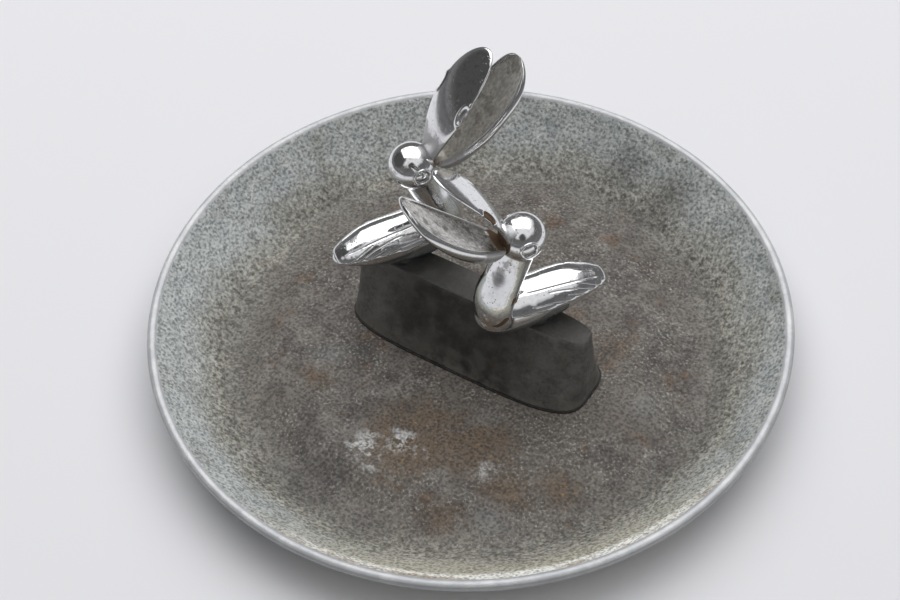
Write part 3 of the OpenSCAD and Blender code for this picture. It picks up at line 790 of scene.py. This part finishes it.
def build_wing(bird, side):
    """A folded wing: an outer face with feathers, an inner face under the skin, and a rim."""
    m, n = 190, 170
    v = np.linspace(0, 1, m)[:, None]
    u = np.linspace(0, 1, n)[None]
    a = np.full((m, n), 90.0)
    f = np.zeros((m, n))
    # the front edge depends on a and the lower edge on f, so both are settled in turns
    for _ in range(6):
        f = wing_front(a) + (WING_REAR - wing_front(a)) * u
        a = 90.0 + (wing_low(f) - 90.0) * v
    # about how far each point is from the lower edge and from the ends
    edge = (1 - v) * 75 * ARC
    ends = np.minimum(u * WING_LENGTH, (1 - u) * WING_LENGTH * 0.6)
    lift = 0.15 + 0.85 * np.sqrt(np.clip(1 - (1 - np.clip(np.minimum(edge, ends) / 1.0, 0, 1)) ** 2, 0, 1))
    h = np.clip(wing_height(f, a) * lift, 0.12, 1.8)
    outer = trunk_point(f, a, 0.12 + h)
    inner = trunk_point(f, a, -0.1)
    points = np.concatenate([outer.reshape(-1, 3), inner.reshape(-1, 3)])
    points[:, 1] *= side
    faces = []
    half = m * n
    for i in range(m - 1):
        for k in range(n - 1):
            q = (i * n + k, i * n + k + 1, (i + 1) * n + k + 1, (i + 1) * n + k)
            faces.append(q)
            faces.append(tuple(half + x for x in q[::-1]))
    rim = ([(0, k) for k in range(n)] + [(i, n - 1) for i in range(1, m)]
           + [(m - 1, k) for k in range(n - 2, -1, -1)] + [(i, 0) for i in range(m - 2, 0, -1)])
    ids = [i * n + k for i, k in rim]
    for p, q in zip(ids, ids[1:] + ids[:1]):
        faces.append((p, q, q + half, p + half))
    ob = new_mesh("%s_%s_wing" % (bird, SIDES[side]), points, faces)
    q = coords(ob)
    low_edge = np.concatenate([(1 - v + 0 * u).ravel() * 14, np.zeros(half)])
    front = np.concatenate([(u + 0 * v).ravel() * WING_LENGTH, np.zeros(half)])
    patch = value_noise(q, 4, 31)
    grime = 0.85 * (1 - step(front, 1.0, 4.0)) * step(patch, 0.30, 0.55)
    grime = np.maximum(grime, 0.55 * (1 - step(low_edge, 0.3, 1.2)) * step(patch, 0.45, 0.7))
    # dirt lies along the feather edges of the rear bird
    if bird == "rear":
        z = np.concatenate([np.clip(1.12 - wing_height(f, a), 0, 1).ravel() * 5, np.zeros(half)])
        grime = np.maximum(grime, 0.5 * z)
    paint(ob, grime=grime)
    move(ob, bird)
    finish_piece(ob, "%s_bird_%s_wing" % (bird, SIDES[side]), "bird_chrome", chrome)


def bill_width(b, t):
    """Half the bill's width, at t from the root (0) to the tip (1)."""
    wide = b["share"] + (1 - b["share"]) * np.sin(np.radians(90 * np.clip(t / WIDEST, 0, 1))) ** b["blunt"]
    tip = np.sqrt(np.maximum(1 - np.abs(np.clip((t - WIDEST) / (1 - WIDEST), 0, 1)) ** b["round"], 0.0004))
    return b["width"] * np.where(t < WIDEST, wide, tip)


def build_bill(bird, part):
    """A hollow leaf with rolled lips; the upper bill has a ringed nostril on each side."""
    b = UPPER if part == "upper" else LOWER
    m, n = (230, 190) if part == "upper" else (190, 170)
    s = np.linspace(0, 1, m)
    t = (1 - np.cos(math.pi * s)) / 2 * 0.35 + s * 0.65
    t = t[:, None]
    a = 2 * math.pi * (np.arange(n)[None] + 0.5) / n
    w = bill_width(b, t)
    share = w / b["width"]
    off = b["bow"] * 4 * t * (1 - t)
    deep = b["deep"] * np.sqrt(share) * (1 - b["lost"] * t)
    lip = np.minimum(LIP_H, deep / 3)
    sn, cs = np.sin(a), np.cos(a)
    from_edge = w * (1 - np.abs(cs))
    hollow = HOLLOW_H * share * sn ** 2
    roll = np.minimum(np.minimum(b["roll"], 0.42 * w), 0.6 * deep)
    bend = np.clip(1 - from_edge / roll, 0, 1)
    curl = roll * (1 - np.sqrt(np.maximum(1 - bend ** 2, 0)))
    tray = 0.6 * step(from_edge - roll, 0.0, 0.7) * step(t, 0.04, 0.10)
    tray = np.minimum(tray, deep * 0.25)
    y = np.where(sn >= 0, (roll - lip) + (deep - roll + lip) * sn,
                 -lip + curl + hollow * 0.8 * (1 - bend) + tray)
    uu = off + b["side"] * y
    c, z = math.cos(math.radians(b["rise"])), math.sin(math.radians(b["rise"]))
    p = np.stack([b["root"][0] + t * b["length"] * c - uu * z, b["side"] * w * cs + 0 * t,
                  b["root"][1] + t * b["length"] * z + uu * c], -1)
    grime = np.zeros((m, n))
    d = np.gradient(p, axis=0)
    e = np.gradient(p, axis=1)
    nrm = np.cross(d, e)
    nrm /= np.maximum(np.linalg.norm(nrm, axis=-1), 1e-9)[..., None]
    mid = p.mean(axis=1, keepdims=True)
    nrm *= np.sign(((p - mid) * nrm).sum(-1))[..., None]
    if part == "upper":
        along = np.array([c, 0, z])
        for flank in (-1, 1):
            spot = np.array([6.6, flank * 12.1, 111.1])
            outer = (sn >= -0.05) & (np.sign(p[..., 1]) == flank)
            gap = np.linalg.norm(p - spot, axis=-1) + np.where(outer, 0, 99)
            i, k = np.unravel_index(gap.argmin(), gap.shape)
            at = p[i, k]
            across = np.cross(nrm[i, k], along)
            across /= np.linalg.norm(across)
            q = p - at
            ex = (q @ along) / 5.4
            ey = (q @ across) / 2.3
            rr = np.sqrt(ex ** 2 + ey ** 2)
            near = np.where(outer, 1.0, 0.0) * (np.linalg.norm(q, axis=-1) < 8)
            lift = 0.42 * np.exp(-((rr - 1.0) / 0.20) ** 2) - 0.35 * (1 - step(rr, 0.55, 0.9))
            p = p + nrm * (lift * near)[..., None]
            if bird == "front" and flank == 1:
                grime = np.maximum(grime, 0.95 * near * (1 - step(rr, 0.75, 1.05)))
            else:
                grime = np.maximum(grime, 0.28 * near * np.exp(-((rr - 0.8) / 0.12) ** 2))
    root = (1 - step(t + 0 * a, 0.015, 0.16)) * (0.9 if (bird, part) == ("front", "lower") else 0.45)
    patch = value_noise(p, 4.5, 41)
    grime = np.maximum(grime, root * step(patch, 0.25, 0.6))
    ob = new_mesh("%s_%s_bill" % (bird, part), p.reshape(-1, 3), ring_faces(m, n))
    paint(ob, grime=grime, dull=1 - step(t + 0 * a, 0.14, 0.32))
    # the hollow has the dull material
    within = ((sn < 0) & (from_edge > roll + 0.3) & (t > 0.02)).astype(np.int32)
    idx = np.zeros(len(ob.data.polygons), np.int32)
    quads = np.minimum(within[:-1], within[1:])
    quads = np.minimum(quads, np.roll(quads, -1, axis=1))
    idx[:(m - 1) * n] = quads.ravel()
    move(ob, bird)
    finish_piece(ob, "%s_bird_%s_bill" % (bird, part), "bill_chrome", chrome,
                 inside_bright if (bird, part) == ("front", "lower") else inside)
    ob.data.polygons.foreach_set("material_index", idx)


def build_eye(bird, side):
    """A raised ring with a domed middle."""
    r, ring = EYE_D / 2, 0.6
    prof = [(r - 0.05, -1.6), (r, -0.8)]
    prof += [(r - ring + ring * math.cos(q), ring * math.sin(q)) for q in np.radians(np.linspace(0, 180, 22))]
    prof += [(r - 2 * ring - 0.02, -0.2), (r - 2 * ring - 0.08, -0.5)]
    dome = r - 2 * ring - 0.25
    prof += [(dome * math.cos(q), -0.5 + 1.1 * math.sin(q)) for q in np.radians(np.linspace(0, 89, 20))]
    prof = np.array(prof)
    n = 96
    a = 2 * math.pi * np.arange(n) / n
    p = np.stack([prof[:, 0:1] * np.cos(a), prof[:, 0:1] * np.sin(a), np.repeat(prof[:, 1:2], n, 1)], -1)
    ob = new_mesh("%s_%s_eye" % (bird, SIDES[side]), p.reshape(-1, 3), ring_faces(len(prof), n))
    rr = np.hypot(p[..., 0], p[..., 1])
    paint(ob, grime=0.45 * np.exp(-((rr - (dome + 0.25)) / 0.22) ** 2))
    ob.data.transform(Matrix.Translation((EYE_AT[0] * MM, side * EYE_AT[1] * MM, EYE_AT[2] * MM))
                      @ Matrix.Rotation(math.radians(-side * EYE_TILT), 4, "X"))
    move(ob, bird)
    finish_piece(ob, "%s_bird_%s_eye" % (bird, SIDES[side]), "bird_chrome", chrome)


build_dish()
build_pedestal()
for bird in ("front", "rear"):
    build_body(bird)
    for part in ("upper", "lower"):
        build_bill(bird, part)
    for side in (1, -1):
        build_wing(bird, side)
        build_eye(bird, side)

# the nodes that are shown as they are in the CAD
for name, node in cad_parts.items():
    surface = None
    if "screw" in name or "washer" in name:
        surface = screw_steel
    elif name == "rim_wire":
        surface = wire_steel
    elif name == "pedestal_gasket":
        surface = rubber
    if surface is not None:
        node.data.materials.clear()
        node.data.materials.append(surface)


# ---------------------------------------------------------------- floor, light and camera
def stage_floor():
    """A pale cloth that darkens away from the dish."""
    me = bpy.data.meshes.new("floor")
    s = 4.0
    me.from_pydata([(-s, -s, 0), (s, -s, 0), (s, s, 0), (-s, s, 0)], [], [(0, 1, 2, 3)])
    ob = bpy.data.objects.new("floor", me)
    bpy.context.scene.collection.objects.link(ob)
    m = Mat("pale_floor", roughness=0.9, specular=0.1)
    sep = m.node("ShaderNodeVectorMath", operation="DISTANCE")
    m.put(sep.inputs[0], m.co)
    sep.inputs[1].default_value = (-0.083, 0.125, 0)
    m.out(m.mix(m.ramp(sep.outputs["Value"], 0.50, 0.70), (0.82, 0.82, 0.845), (0.17, 0.17, 0.175)))
    me.materials.append(m.m)


def area_light(name, at, size, power):
    """A rectangular light at a place in metres, aimed at the ornament."""
    data = bpy.data.lights.new(name, "AREA")
    data.shape = "RECTANGLE"
    data.size, data.size_y = size
    data.energy = power
    ob = bpy.data.objects.new(name, data)
    bpy.context.scene.collection.objects.link(ob)
    ob.location = at
    ob.rotation_euler = (Vector((0, 0, 0.05)) - Vector(at)).to_track_quat("-Z", "Y").to_euler()


def sky():
    """Studio surroundings: bright overhead, dim at the sides, with two dark patches."""
    world = bpy.data.worlds.new("studio")
    bpy.context.scene.world = world
    world.use_nodes = True
    t = world.node_tree

    def node(kind, *links, **kw):
        n = t.nodes.new(kind)
        for k, v in kw.items():
            setattr(n, k, v)
        for socket, v in links:
            if isinstance(v, bpy.types.NodeSocket):
                t.links.new(v, n.inputs[socket])
            else:
                n.inputs[socket].default_value = v
        return n.outputs[0]

    way = t.nodes.new("ShaderNodeTexCoord").outputs["Generated"]
    cloud = t.nodes.new("ShaderNodeTexNoise")
    t.links.new(way, cloud.inputs["Vector"])
    cloud.inputs["Scale"].default_value = 2.6
    cloud.inputs["Detail"].default_value = 3
    wobble = node("ShaderNodeMath", (0, cloud.outputs[0]), (1, 0.5), operation="SUBTRACT")
    sep = t.nodes.new("ShaderNodeSeparateXYZ")
    t.links.new(way, sep.inputs[0])
    high = node("ShaderNodeMath", (0, wobble), (1, 0.30), (2, sep.outputs[2]), operation="MULTIPLY_ADD")
    ramp = t.nodes.new("ShaderNodeValToRGB")
    t.links.new(high, ramp.inputs[0])
    # brightness by height: position on the ramp, grey level
    stops = [(0.0, 0.20), (0.12, 0.14), (0.48, 0.12), (0.56, 0.55), (0.70, 0.78), (1.0, 0.80)]
    el = ramp.color_ramp.elements
    while len(el) < len(stops):
        el.new(0.5)
    for e, (pos, v) in zip(el, stops):
        e.position = pos
        e.color = (v, v, v * 1.01, 1)
    colour = ramp.outputs[0]
    # the dark patches: where the middle lies, and the cosines between which each one begins
    for aim, lo, hi in (((-0.72, -0.42, 0.55), 0.80, 0.87), ((0.42, -0.62, 0.66), 0.950, 0.972)):
        near = t.nodes.new("ShaderNodeVectorMath")
        near.operation = "DOT_PRODUCT"
        t.links.new(way, near.inputs[0])
        near.inputs[1].default_value = Vector(aim).normalized()
        bent = node("ShaderNodeMath", (0, wobble), (1, 0.22 * (1 - lo) / 0.2),
                    (2, near.outputs["Value"]), operation="MULTIPLY_ADD")
        mask = node("ShaderNodeMapRange", ("Value", bent), ("From Min", lo), ("From Max", hi))
        mix = t.nodes.new("ShaderNodeMix")
        mix.data_type = "RGBA"
        t.links.new(mask, mix.inputs[0])
        t.links.new(colour, mix.inputs[6])
        mix.inputs[7].default_value = (0.07, 0.07, 0.07, 1)
        colour = mix.outputs[2]
    t.links.new(colour, t.nodes["Background"].inputs[0])


stage_floor()
sky()
area_light("overhead", (-0.45, 0.75, 1.8), (3.0, 2.4), 33.0)

cam_data = bpy.data.cameras.new("camera")
cam_data.lens = 50
cam_data.sensor_width = 22.3
cam = bpy.data.objects.new("camera", cam_data)
bpy.context.scene.collection.objects.link(cam)
cam_at, cam_aim = Vector((0.3258, -0.5055, 0.7459)), Vector((-0.0126, 0.0030, 0.0239))
look = (cam_aim - cam_at).to_track_quat("-Z", "Y").to_matrix().to_4x4()
cam.matrix_world = Matrix.Translation(cam_at) @ look @ Matrix.Rotation(math.radians(-2.472), 4, "Z")
bpy.context.scene.camera = cam
bpy.context.scene.view_settings.view_transform = "Standard"
